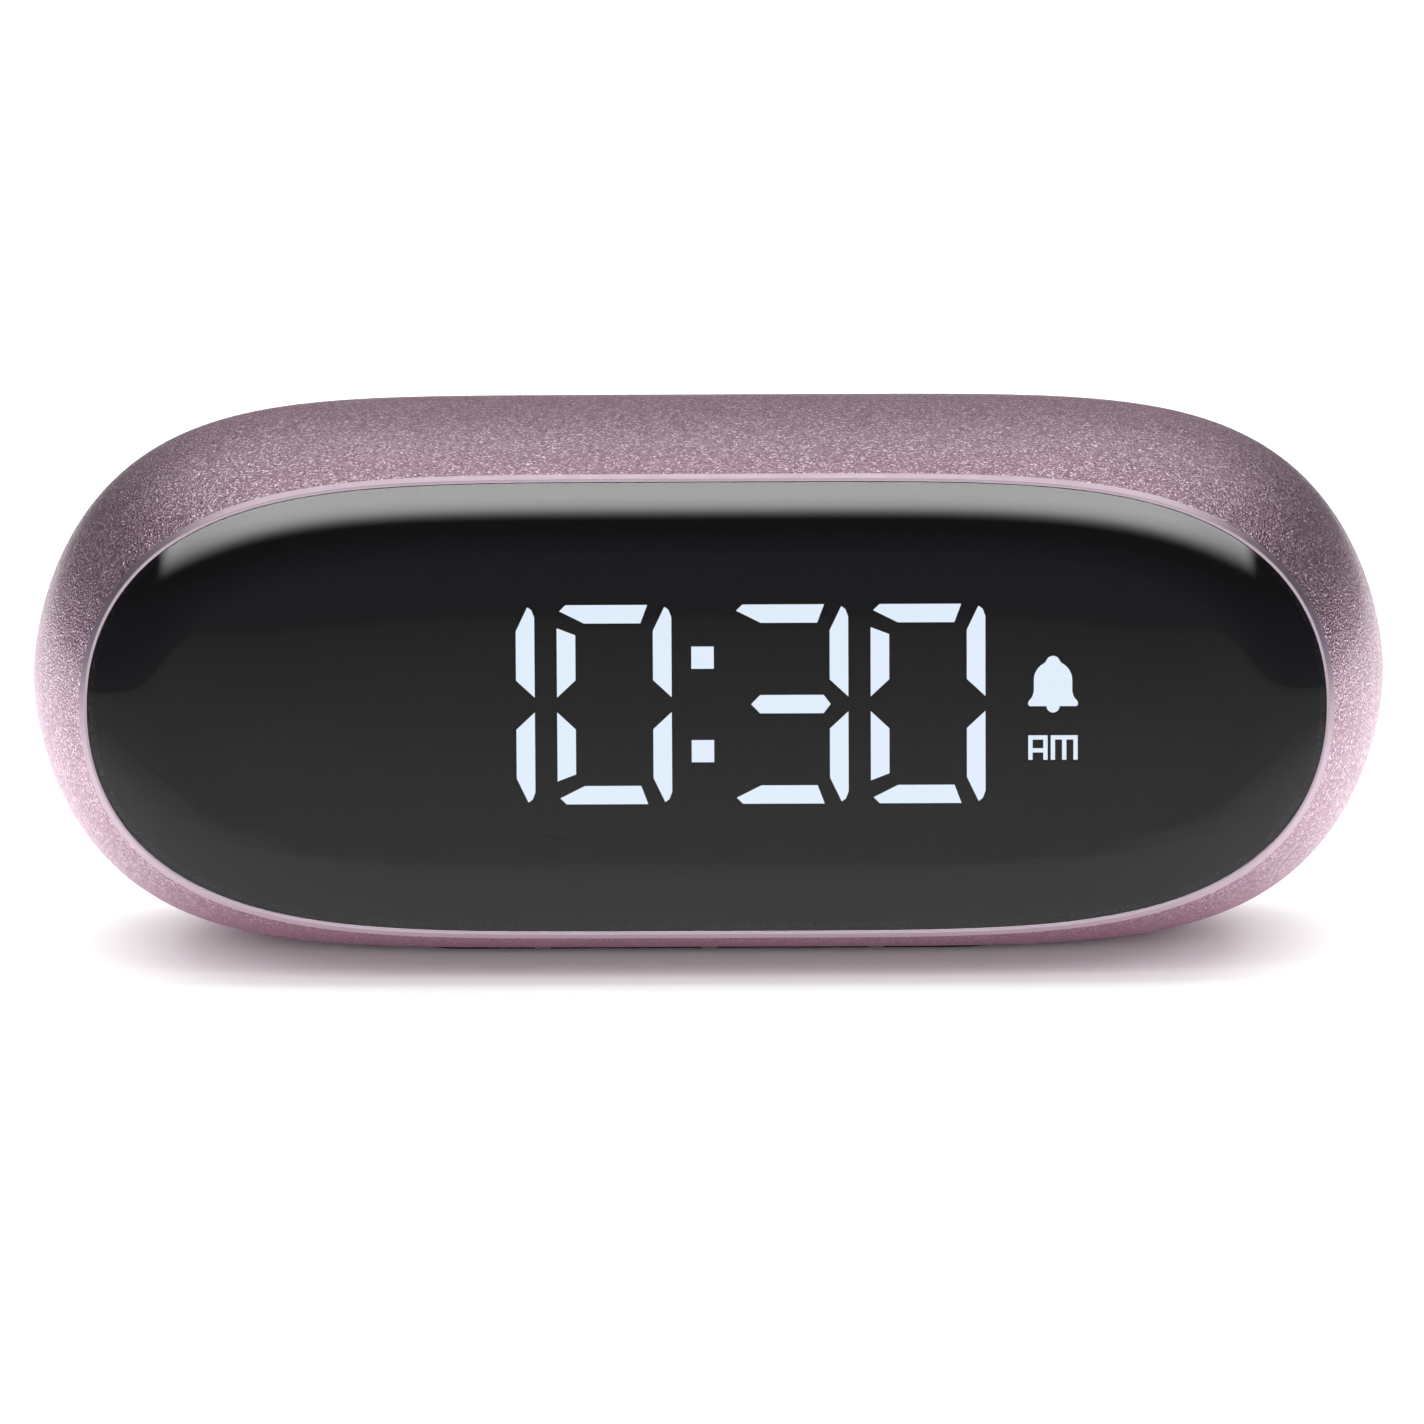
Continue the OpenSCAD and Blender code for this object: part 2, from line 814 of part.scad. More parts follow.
module reset_switch() {
    color("#2b2d33")
        at_axis() {
            block(reset_x, pin_z, 3, 3, key_y1, key_y1 + 1.4);
            rod(reset_x, pin_z, 0.7, key_y1 + 1.4, key_y1 + 1.9);
        }
}

module alarm_switch_case() {
    color("#b7babd")
        at_axis() difference() {
            block(slide_x, slide_z, 8.6, 3.8, key_y1, slide_y1);
            // channel for the actuator, open at the rear
            block(slide_x, slide_z, 3.2 + switch_travel, 1.9, slide_y1 - 2, slide_y1 + 1);
        }
}

// The knob is one piece with its actuator, shown at the off end of its travel
module alarm_switch_knob() {
    x = slide_x - switch_travel / 2;
    face = cover_face + 0.5;
    color("#8c8a92")
        at_axis() difference() {
            union() {
                block(x, slide_z, 3, 1.6, slide_y1 - 1.9, cover_face - 0.45);
                slab(cover_face - 0.45, face) translate([x, slide_z]) rounded(3.4, 3, 0.5);
            }
            for (k = [-1:1]) block(x + k * 0.9, slide_z, 0.35, 4, face - 0.25, face + 1);
        }
}

// ---------- key board ----------

module key_board() {
    color("#1f5137")
        at_axis() slab(key_y0, key_y1) difference() {
            rounded(key_board_w, key_board_h, 2);
            for (sx = [-1, 1], sz = [-1, 1])
                translate([sx * boss_x, sz * boss_z]) circle(0.9);
        }
}

module key_board_screws() {
    color("#b9bcc0")
        at_axis() four(boss_x, boss_z) difference() {
            union() {
                rod(0, 0, 1.6, key_y0 - 0.9, key_y0);
                rod(0, 0, 0.78, key_y0, key_y0 + 4.4);
            }
            cross_recess(key_y0 - 0.9, 0.6);
        }
}

module usb_shell() {
    color("#c3c6ca")
        at_axis() slab(key_y1, usb_y1) translate([0, usb_z]) difference() {
            pill(usb_w, usb_h);
            pill(usb_w - 2 * usb_wall, usb_h - 2 * usb_wall);
        }
}

module usb_tongue() {
    color("#1a1a1c")
        at_axis() {
            slab(key_y1, key_y1 + 1)
                translate([0, usb_z]) pill(usb_w - 2 * usb_wall - 0.1, usb_h - 2 * usb_wall - 0.1);
            block(0, usb_z, 6.7, 0.7, key_y1 + 1, usb_y1 - 0.8);
        }
}

module charger_chip() {
    color("#222326") at_axis() block(10, -2, 4.9, 3.9, key_y0 - 1.2, key_y0);
}

module buzzer() {
    color("#161618")
        at_axis() difference() {
            rod(buzzer_x, buzzer_z, buzzer_r, key_y1, buzzer_y1);
            rod(buzzer_x, buzzer_z, 1, buzzer_y1 - 1, buzzer_y1 + 1);
        }
}

module buzzer_gasket() {
    color("#3b3b3e")
        at_axis() difference() {
            rod(buzzer_x, buzzer_z, buzzer_r, buzzer_y1, cover_y - 0.1);
            rod(buzzer_x, buzzer_z, 3.9, buzzer_y1 - 1, cover_y + 1);
        }
}

module grille_mesh() {
    color("#0f0f10") at_axis() rod(buzzer_x, buzzer_z, buzzer_r, cover_y - 0.1, cover_y);
}

module charge_led() {
    color("#eaf3e4") at_axis() block(led_x, pin_z, 1.6, 0.8, key_y1, key_y1 + 0.6);
}

module light_pipe() {
    color([0.85, 0.88, 0.9, 0.6])
        at_axis() rod(led_x, pin_z, 0.8, key_y1 + 0.8, cover_face);
}

// ---------- nodes ----------

shell();
window();
window_mask();
window_gasket();
base_pad();
rear_cover();
rear_cover_screws();
key_hour();
key_minute();
key_set();
key_alarm();
plunger(0);  // plunger_hour
plunger(1);  // plunger_minute
plunger(2);  // plunger_set
plunger(3);  // plunger_alarm
alarm_switch_knob();
alarm_switch_case();
display_housing();
segments_lit();
segments_unlit();
colon_dots();
bell_icon();
am_icon();
segment_leds();
icon_leds();
main_board();
main_board_screws();
processor();
crystal_can();
small_parts();
chassis();
battery_cell();
battery_tape();
lead_positive();
lead_negative();
lead_plug();
lead_header();
ribbon_cable();
ribbon_socket_main();
ribbon_socket_key();
touch_electrode();
touch_spring();
key_board();
key_board_screws();
key_switch_cases();
reset_switch();
usb_shell();
usb_tongue();
charger_chip();
buzzer();
buzzer_gasket();
grille_mesh();
charge_led();
light_pipe();
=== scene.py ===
"""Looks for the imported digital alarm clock: a smooth barrel housing in fine metallic paint,
a smoked window over lit digits, the rear controls, a pale floor, soft lights and a camera.

Metres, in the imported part's frame: +X right seen from the front, +Y to the back, +Z up.
"""

import math

import bpy
from mathutils import Matrix, Vector


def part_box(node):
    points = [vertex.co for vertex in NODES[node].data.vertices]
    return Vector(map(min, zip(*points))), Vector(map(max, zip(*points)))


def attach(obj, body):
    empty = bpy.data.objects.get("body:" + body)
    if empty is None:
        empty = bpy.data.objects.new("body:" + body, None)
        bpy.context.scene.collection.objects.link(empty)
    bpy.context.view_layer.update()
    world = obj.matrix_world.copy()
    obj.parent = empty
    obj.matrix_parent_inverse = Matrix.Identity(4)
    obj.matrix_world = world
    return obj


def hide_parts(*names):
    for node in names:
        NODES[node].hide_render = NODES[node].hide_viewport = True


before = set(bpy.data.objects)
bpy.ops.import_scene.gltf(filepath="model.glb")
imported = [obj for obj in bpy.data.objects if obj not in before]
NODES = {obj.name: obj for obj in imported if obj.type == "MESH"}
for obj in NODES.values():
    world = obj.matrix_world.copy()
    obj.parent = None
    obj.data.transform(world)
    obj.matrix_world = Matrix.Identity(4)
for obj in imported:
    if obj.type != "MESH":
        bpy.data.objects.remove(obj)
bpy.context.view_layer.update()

MM = 0.001

# ---------------------------------------------------------------- sizes from the frame

shell_lo, shell_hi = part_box("shell")
window_lo, window_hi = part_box("window")
cover_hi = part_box("rear_cover")[1]

AXIS_Z = (window_lo[2] + window_hi[2]) / 2
HALF_D = (shell_hi[1] - shell_lo[1]) / 2
HALF_W = (shell_hi[0] - shell_lo[0]) / 2
HALF_H = shell_hi[2] - AXIS_Z
SEAT = 0.45 * MM                      # window edge to the rim's outline
RIM_A = (window_hi[0] - window_lo[0]) / 2 + SEAT
RIM_B = (window_hi[2] - window_lo[2]) / 2 + SEAT
WALL = 2 * MM                         # thickness of the housing
WINDOW_BACK = window_hi[1]
COVER_FACE = cover_hi[1]              # outer face of the rear cover

# Outline exponents: |x/a|^p + |z/b|^q = 1, in the middle of the barrel and at its rims
P_MID, Q_MID = 6.15, 1.76
P_RIM, Q_RIM = 4.8, 2.1
AROUND = 240                          # points around each outline

# The housing's seats: the window and the rear cover lie on ledges behind the rims
GASKET = 0.3 * MM                     # print and foam between the window and its ledge
FRONT_LEDGE = 1.5 * MM                # thickness of the front ledge
FRONT_LEDGE_IN = 3.9 * MM             # front ledge's opening, in from the rim's outline
COVER_PLATE = 2.1 * MM                # thickness of the rear cover, which lies on the rear ledge
REAR_LEDGE = 1.4 * MM                 # thickness of the rear ledge
REAR_LEDGE_IN = 2.1 * MM              # rear ledge's opening, in from the rim's outline


def outline(a, b, p, q, n=AROUND):
    """Points (x, z) around one outline, with more of them on the round ends."""
    points = []
    for i in range(n):
        turn = 2 * math.pi * i / n
        s, c = math.sin(turn), math.cos(turn)
        across = math.copysign(math.sqrt(abs(s)), s)
        up = math.copysign(max(0.0, 1 - abs(across) ** p) ** (1 / q), c)
        points.append((a * across, b * up))
    return points


def mix(rim, mid, y):
    """A size of the barrel at depth y: rim's at the rims and mid's in the middle."""
    return rim + (mid - rim) * (1 - (y / HALF_D) ** 2)


def barrel(y, inset=0.0):
    """The barrel's section at depth y, taken in by inset."""
    points = outline(
        mix(RIM_A, HALF_W, y) - inset,
        mix(RIM_B, HALF_H, y) - inset,
        mix(P_RIM, P_MID, y),
        mix(Q_RIM, Q_MID, y),
    )
    return [(x, y, AXIS_Z + z) for x, z in points]


def rim_ring(y, inset):
    """The rim's outline taken in by inset, flat and at depth y."""
    points = outline(RIM_A - inset, RIM_B - inset, P_RIM, Q_RIM)
    return [(x, y, AXIS_Z + z) for x, z in points]


# ---------------------------------------------------------------- mesh helpers


def skin(name, rings, tyre=False):
    """A smooth mesh over rings, which run from front to back: closed like a tyre, or capped."""
    n, count = len(rings[0]), len(rings)
    verts = [p for ring in rings for p in ring]
    faces = []
    for r in range(count if tyre else count - 1):
        a, b = r * n, (r + 1) % count * n
        for i in range(n):
            j = (i + 1) % n
            faces.append((a + j, b + j, b + i, a + i))
    if not tyre:
        faces.append(tuple(range(n - 1, -1, -1)))
        faces.append(tuple(range((count - 1) * n, count * n)))
    mesh = bpy.data.meshes.new(name)
    mesh.from_pydata(verts, [], faces)
    mesh.validate()
    obj = bpy.data.objects.new(name, mesh)
    bpy.context.scene.collection.objects.link(obj)
    smooth(obj)
    return obj


def smooth(obj, angle=28):
    """Smooth shading, with edges sharper than angle degrees kept."""
    mesh = obj.data
    mesh.shade_smooth()
    mesh.set_sharp_from_angle(angle=math.radians(angle))


def paint(name, material):
    """Gives a CAD node its material."""
    mesh = NODES[name].data
    mesh.materials.clear()
    mesh.materials.append(material)


# ---------------------------------------------------------------- material helpers


class Look:
    """A Principled material and short ways to add nodes to it."""

    def __init__(self, name, colour, roughness, metallic=0.0):
        self.mat = bpy.data.materials.new(name)
        self.mat.use_nodes = True
        self.tree = self.mat.node_tree
        self.shader = self.tree.nodes["Principled BSDF"]
        self.set("Base Color", (*colour, 1))
        self.set("Roughness", roughness)
        self.set("Metallic", metallic)
        self.coords = self.node("ShaderNodeTexCoord").outputs["Object"]

    def node(self, kind, **values):
        n = self.tree.nodes.new(kind)
        for key, value in values.items():
            setattr(n, key, value)
        return n

    def link(self, a, b):
        self.tree.links.new(a, b)

    def set(self, socket, value):
        self.shader.inputs[socket].default_value = value

    def noise(self, scale, detail=2.0, stretch=(1, 1, 1)):
        """Noise of that many cells a metre, stretched along the axes."""
        place = self.node("ShaderNodeMapping")
        place.inputs["Scale"].default_value = stretch
        self.link(self.coords, place.inputs["Vector"])
        tex = self.node("ShaderNodeTexNoise")
        tex.inputs["Scale"].default_value = scale
        tex.inputs["Detail"].default_value = detail
        self.link(place.outputs["Vector"], tex.inputs["Vector"])
        return tex.outputs["Fac"]

    def cells(self, scale):
        """A random value in each cell, with that many cells a metre."""
        tex = self.node("ShaderNodeTexVoronoi")
        tex.inputs["Scale"].default_value = scale
        self.link(self.coords, tex.inputs["Vector"])
        split = self.node("ShaderNodeSeparateColor")
        self.link(tex.outputs["Color"], split.inputs["Color"])
        return split.outputs["Red"]

    def ramp(self, factor, stops):
        """A colour ramp through (place, grey or colour) stops."""
        ramp = self.node("ShaderNodeValToRGB")
        elements = ramp.color_ramp.elements
        while len(elements) < len(stops):
            elements.new(0.5)
        for element, (place, value) in zip(elements, stops):
            element.position = place
            rgb = (value,) * 3 if isinstance(value, (int, float)) else value
            element.color = (*rgb, 1)
        self.link(factor, ramp.inputs["Fac"])
        return ramp.outputs["Color"]

    def spread(self, factor, low, high):
        """Maps 0..1 to low..high."""
        n = self.node("ShaderNodeMapRange")
        n.inputs["To Min"].default_value = low
        n.inputs["To Max"].default_value = high
        self.link(factor, n.inputs["Value"])
        return n.outputs["Result"]

    def height(self, low, high):
        """0 at height low and below it, 1 at height high and above it."""
        split = self.node("ShaderNodeSeparateXYZ")
        self.link(self.coords, split.inputs[0])
        n = self.node("ShaderNodeMapRange")
        n.inputs["From Min"].default_value = low
        n.inputs["From Max"].default_value = high
        self.link(split.outputs["Z"], n.inputs["Value"])
        return n.outputs["Result"]

    def product(self, a, b):
        """Two colours multiplied."""
        n = self.node("ShaderNodeVectorMath", operation="MULTIPLY")
        self.link(a, n.inputs[0])
        self.link(b, n.inputs[1])
        return n.outputs["Vector"]

    def feed(self, socket, output):
        self.link(output, self.shader.inputs[socket])

    def bump(self, height, depth, strength=1.0):
        """Bumps of that depth in metres."""
        n = self.node("ShaderNodeBump")
        n.inputs["Strength"].default_value = strength
        n.inputs["Distance"].default_value = depth
        self.link(height, n.inputs["Height"])
        self.link(n.outputs["Normal"], self.shader.inputs["Normal"])


# ---------------------------------------------------------------- materials


def shell_paint():
    """Dusty rose metallic paint with a fine flake under a clear coat, with painted shade low down:
    deeper magenta towards the bottom, standing in for the reflected shadow of the floor."""
    look = Look("rose_metallic", (0.40, 0.25, 0.32), 0.38, metallic=1.0)
    look.set("Specular Tint", (1.0, 0.87, 0.94, 1))
    flake = look.cells(9000)
    colour = look.ramp(flake, [
        (0.0, (0.20, 0.11, 0.16)), (0.5, (0.35, 0.22, 0.29)),
        (0.85, (0.54, 0.38, 0.46)), (1.0, (1.0, 0.85, 0.93)),
    ])
    # painted shade: below 7 mm the paint turns deeper magenta, in place of the dark floor
    # reflected underneath
    painted_low_shade = look.ramp(look.height(2 * MM, 7 * MM), [(0.0, (0.80, 0.40, 0.62)), (1.0, 1.0)])
    look.feed("Base Color", look.product(colour, painted_low_shade))
    look.feed("Roughness", look.spread(look.noise(260, 3), 0.35, 0.40))
    look.set("Coat Weight", 0.3)
    look.set("Coat Roughness", 0.2)
    look.bump(look.noise(6000, 1), 0.00016, 0.9)
    return look.mat


def rim_metal():
    """The bright turned bevel and lip of the housing around the window."""
    look = Look("rim_bright", (0.50, 0.40, 0.46), 0.3, metallic=1.0)
    look.feed("Roughness", look.spread(look.noise(1200, 2), 0.26, 0.34))
    return look.mat


def smoked_acrylic():
    """Dark clear acrylic: a glossy face with a faint haze that differs from place to place."""
    look = Look("smoked_acrylic", (0.003, 0.003, 0.0035), 0.05)
    look.set("IOR", 1.34)
    look.set("Alpha", 0.85)
    look.feed("Roughness", look.spread(look.noise(90, 4), 0.035, 0.045))
    return look.mat


def acrylic_back():
    """The window's back face, which lies on the print and mirrors nothing."""
    look = Look("smoked_acrylic_back", (0.004, 0.004, 0.005), 0.6)
    look.set("Specular IOR Level", 0.0)
    look.set("Alpha", 0.06)
    return look.mat


def black_print(name):
    """Dead black ink or plastic, with a trace of mottling."""
    look = Look(name, (0.001, 0.001, 0.0012), 0.8)
    look.set("Specular IOR Level", 0.0)
    look.feed("Base Color", look.ramp(look.noise(900, 3), [(0.3, 0.0006), (0.7, 0.0016)]))
    return look.mat


def plain_plastic(name, colour, roughness, grain=1500, depth=0.00001):
    """Moulded plastic with a fine spark-eroded grain."""
    look = Look(name, colour, roughness)
    grit = look.noise(grain, 3)
    lift = [c * 1.25 + 0.003 for c in colour]
    look.feed("Base Color", look.ramp(look.noise(120, 4), [(0.3, colour), (0.7, lift)]))
    look.feed("Roughness", look.spread(grit, roughness - 0.06, roughness + 0.06))
    look.bump(grit, depth, 0.5)
    return look.mat


def rubber(name, colour):
    """Soft silicone with a dusty surface."""
    look = Look(name, colour, 0.75)
    dusty = [c * 1.5 for c in colour]
    look.feed("Base Color", look.ramp(look.noise(700, 5), [(0.35, colour), (0.75, dusty)]))
    look.bump(look.noise(4000, 2), 0.000015, 0.6)
    return look.mat


def metal(name, colour, roughness, brushed=(1, 1, 12)):
    """Plated or machined metal with fine lines across it."""
    look = Look(name, colour, roughness, metallic=1.0)
    lines = look.noise(2500, 2, stretch=brushed)
    look.feed("Roughness", look.spread(lines, roughness - 0.07, roughness + 0.1))
    look.feed("Base Color", look.ramp(lines, [(0.2, [c * 0.85 for c in colour]), (0.8, colour)]))
    return look.mat


def lit_plastic():
    """Translucent insert that glows cool white."""
    look = Look("lit_insert", (0.30, 0.32, 0.35), 0.45)
    look.set("Emission Color", (0.78, 0.885, 1.0, 1))
    look.set("Emission Strength", 6.6)
    look.feed("Roughness", look.spread(look.noise(900, 2), 0.4, 0.5))
    return look.mat


def board():
    """Green solder mask over copper tracks."""
    look = Look("solder_mask", (0.015, 0.11, 0.05), 0.35)
    tracks = look.node("ShaderNodeTexBrick")
    tracks.inputs["Scale"].default_value = 700
    look.link(look.coords, tracks.inputs["Vector"])
    look.feed(
        "Base Color",
        look.ramp(tracks.outputs["Fac"], [(0.4, (0.012, 0.09, 0.04)), (0.6, (0.03, 0.20, 0.09))]),
    )
    look.bump(tracks.outputs["Fac"], 0.00002, 0.4)
    return look.mat


def paint_nodes():
    """Every CAD node that stays shown gets its material."""
    plastic = plain_plastic
    looks = {
        "mask_ink": black_print("mask_ink"),
        "foam": rubber("foam_seal", (0.02, 0.02, 0.022)),
        "silicone": rubber("pad_silicone", (0.035, 0.03, 0.035)),
        "cover": plastic("cover_plastic", (0.035, 0.032, 0.037), 0.55),
        "keys": plastic("key_plastic", (0.075, 0.068, 0.078), 0.42),
        "knob": plastic("knob_plastic", (0.36, 0.30, 0.34), 0.4),
        "cream": plastic("connector_cream", (0.72, 0.68, 0.56), 0.45),
        "black": plastic("black_plastic", (0.012, 0.012, 0.014), 0.4),
        "display": black_print("display_black"),
        "unlit": black_print("unlit_insert"),
        "white": plastic("frame_plastic", (0.62, 0.62, 0.60), 0.5),
        "red": plastic("lead_red", (0.42, 0.015, 0.02), 0.4),
        "clear": plastic("clear_plastic", (0.30, 0.33, 0.34), 0.15),
        "led": plastic("led_white", (0.85, 0.80, 0.55), 0.35),
        "steel": metal("screw_steel", (0.42, 0.43, 0.45), 0.3),
        "dark_steel": metal("black_screw", (0.06, 0.06, 0.065), 0.35),
        "nickel": metal("nickel_steel", (0.62, 0.62, 0.63), 0.22),
        "copper": metal("copper_sheet", (0.72, 0.36, 0.20), 0.35),
        "brass": metal("spring_metal", (0.70, 0.52, 0.26), 0.3),
        "foil": metal("cell_foil", (0.55, 0.58, 0.62), 0.35),
        "lit": lit_plastic(),
        "board": board(),
    }
    wears = {
        "mask_ink": ["window_mask"],
        "foam": ["window_gasket", "buzzer_gasket", "battery_tape"],
        "silicone": ["base_pad"],
        "cover": ["rear_cover"],
        "keys": ["key_hour", "key_minute", "key_set", "key_alarm"],
        "knob": ["alarm_switch_knob"],
        "cream": ["lead_plug", "lead_header", "ribbon_cable", "ribbon_socket_main",
                  "ribbon_socket_key", "small_parts",
                  "plunger_hour", "plunger_minute", "plunger_set", "plunger_alarm"],
        "black": ["processor", "key_switch_cases", "reset_switch", "usb_tongue", "charger_chip",
                  "buzzer", "grille_mesh", "lead_negative"],
        "display": ["display_housing"],
        "unlit": ["segments_unlit"],
        "white": ["chassis"],
        "red": ["lead_positive"],
        "clear": ["light_pipe"],
        "led": ["segment_leds", "icon_leds", "charge_led"],
        "steel": ["main_board_screws", "key_board_screws"],
        "dark_steel": ["rear_cover_screws"],
        "nickel": ["usb_shell", "alarm_switch_case", "crystal_can"],
        "copper": ["touch_electrode"],
        "brass": ["touch_spring"],
        "foil": ["battery_cell"],
        "lit": ["segments_lit", "colon_dots", "bell_icon", "am_icon"],
        "board": ["main_board", "key_board"],
    }
    for look, names in wears.items():
        for name in names:
            paint(name, looks[look])


# ---------------------------------------------------------------- housing and window


def arc_steps(steps):
    """Angles from 0 to a quarter turn."""
    return [math.pi / 2 * k / steps for k in range(steps + 1)]


def build_shell():
    """The barrel with its bevelled front rim, round rear rim, two seats and the hollow inside."""
    bevel = 0.22 * MM                 # front rim's outer edge
    edge_out = 0.24 * MM              # rounding of the rear rim's outer edge
    edge_in = 0.05 * MM               # rounding of the rims' inner edges
    rim_edge = 0.42 * MM              # width of the front rim around the window
    front, back = -HALF_D, HALF_D
    steps, inner_steps = 44, 10       # rings along the outside and the inside
    rings = [rim_ring(front + edge_in * (1 - math.sin(t)), rim_edge - edge_in * (1 - math.cos(t)))
             for t in arc_steps(4)]
    lip = len(rings)
    rings += [barrel(front, bevel), barrel(front + bevel)]
    span = 2 * HALF_D - bevel - edge_out
    rings += [barrel(front + bevel + span * k / steps) for k in range(1, steps)]
    rings += [barrel(back - edge_out * (1 - math.sin(t)), edge_out * (1 - math.cos(t)))
              for t in arc_steps(4)]
    rear_edge = rim_edge + 0.1 * MM
    rings += [rim_ring(back - edge_in * (1 - math.cos(t)), rear_edge - edge_in * (1 - math.sin(t)))
              for t in arc_steps(4)]
    seat_y = COVER_FACE - COVER_PLATE
    ledge_y = seat_y - REAR_LEDGE
    rings += [rim_ring(seat_y, rear_edge), rim_ring(seat_y, REAR_LEDGE_IN),
              rim_ring(ledge_y, REAR_LEDGE_IN)]
    front_seat = WINDOW_BACK + GASKET
    front_ledge = front_seat + FRONT_LEDGE
    rings += [barrel(ledge_y + (front_ledge - ledge_y) * k / inner_steps, WALL)
              for k in range(inner_steps + 1)]
    rings += [rim_ring(front_ledge, FRONT_LEDGE_IN), rim_ring(front_seat, FRONT_LEDGE_IN),
              rim_ring(front_seat, rim_edge)]
    shell = skin("housing", rings, tyre=True)
    shell.data.materials.append(shell_paint())
    shell.data.materials.append(rim_metal())
    for face in shell.data.polygons[:(lip + 1) * AROUND]:
        face.material_index = 1
    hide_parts("shell")
    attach(shell, "clock")
    return shell


def dome(t, depth):
    """How far the window stands out of the rim at t: 0 at its edge, 1 in its middle."""
    roll_share, roll_depth = 0.31, 0.76
    roll = 1 - max(0.0, 1 - t / roll_share) ** 2
    crown = 1 - (1 - t) ** 2
    return depth * (roll_depth * roll + (1 - roll_depth) * crown)


def build_window():
    """The window: a short straight edge, a rolled margin and a gently crowned face."""
    half = RIM_B - SEAT
    depth = -HALF_D - window_lo[1]
    steps, crowding = 40, 1.3         # rings, which stand closer together at the edge
    rings = []
    for k in range(steps, 0, -1):
        t = (k / (steps + 1)) ** crowding
        rings.append(rim_ring(-HALF_D - dome(t, depth), SEAT + half * t))
    rings.append(rim_ring(-HALF_D, SEAT))
    rings.append(rim_ring(WINDOW_BACK - 0.02 * MM, SEAT))
    window = skin("window_lens", rings)
    window.data.materials.append(smoked_acrylic())
    window.data.materials.append(acrylic_back())
    for face in window.data.polygons:
        if face.normal.y > 0.5:
            face.material_index = 1
    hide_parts("window")
    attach(window, "clock")
    return window


# ---------------------------------------------------------------- stage


def build_floor():
    """A plain pale floor."""
    size = 2.5                        # half its side
    mesh = bpy.data.meshes.new("floor")
    mesh.from_pydata([(-size, -size, 0), (size, -size, 0), (size, size, 0), (-size, size, 0)], [],
                     [(0, 1, 2, 3)])
    floor = bpy.data.objects.new("floor", mesh)
    bpy.context.scene.collection.objects.link(floor)
    look = Look("floor_pale", (0.86, 0.86, 0.86), 0.6)
    look.feed("Base Color", look.ramp(look.noise(3, 2), [(0.3, 0.855), (0.7, 0.875)]))
    look.set("Specular IOR Level", 0.0)
    mesh.materials.append(look.mat)
    return floor


def add_light(name, place, aim, size, radiance, fade, seen_in, only=None):
    """A soft rectangular light at place that faces aim, size = (width, height). It fades out
    over the shares fade = (sideways, up) at its edges. Only gloss or only matte surfaces show
    it, by seen_in, and only one object if it is given."""
    data = bpy.data.lights.new(name, "AREA")
    data.shape = "RECTANGLE"
    data.size, data.size_y = size
    data.energy = radiance * math.pi * size[0] * size[1]
    if any(fade):
        data.use_nodes = True
        fade_edges(data.node_tree, fade)
    lamp = bpy.data.objects.new(name, data)
    lamp.location = place
    lamp.rotation_euler = (Vector(aim) - Vector(place)).to_track_quat("-Z", "Y").to_euler()
    lamp.visible_diffuse = seen_in == "matte"
    lamp.visible_glossy = seen_in == "gloss"
    lamp.visible_camera = False
    if only:
        group = bpy.data.collections.new(name + "_receivers")
        group.objects.link(only)
        lamp.light_linking.receiver_collection = group
    bpy.context.scene.collection.objects.link(lamp)


def fade_edges(tree, fade):
    """Makes a light's strength rise from 0 at its edges to 1 over the shares fade."""
    emission = tree.nodes["Emission"]
    split = tree.nodes.new("ShaderNodeSeparateXYZ")
    tree.links.new(tree.nodes.new("ShaderNodeNewGeometry").outputs["Parametric"], split.inputs[0])
    product = tree.nodes.new("ShaderNodeMath")
    product.operation = "MULTIPLY"
    for k, axis in enumerate("XY"):
        near = tree.nodes.new("ShaderNodeMath")
        near.operation = "PINGPONG"
        near.inputs[1].default_value = 0.5
        tree.links.new(split.outputs[axis], near.inputs[0])
        rise = tree.nodes.new("ShaderNodeMapRange")
        rise.interpolation_type = "SMOOTHSTEP"
        rise.inputs["From Max"].default_value = fade[k]
        tree.links.new(near.outputs[0], rise.inputs["Value"])
        tree.links.new(rise.outputs["Result"], product.inputs[k])
    tree.links.new(product.outputs[0], emission.inputs["Strength"])


def bent_sheet(name, near, far, material):
    """A sheet bent around the front between two edges, each (radius, height). Only
    reflections show it."""
    steps, spread = 48, 95
    verts = []
    for k in range(steps + 1):
        turn = math.radians(spread * (2 * k / steps - 1))
        for radius, z in (near, far):
            verts.append((radius * math.sin(turn), -radius * math.cos(turn), z))
    faces = [(2 * k, 2 * k + 2, 2 * k + 3, 2 * k + 1) for k in range(steps)]
    mesh = bpy.data.meshes.new(name)
    mesh.from_pydata(verts, [], faces)
    mesh.materials.append(material)
    sheet = bpy.data.objects.new(name, mesh)
    bpy.context.scene.collection.objects.link(sheet)
    sheet.visible_camera = False
    sheet.visible_diffuse = False
    sheet.visible_shadow = False


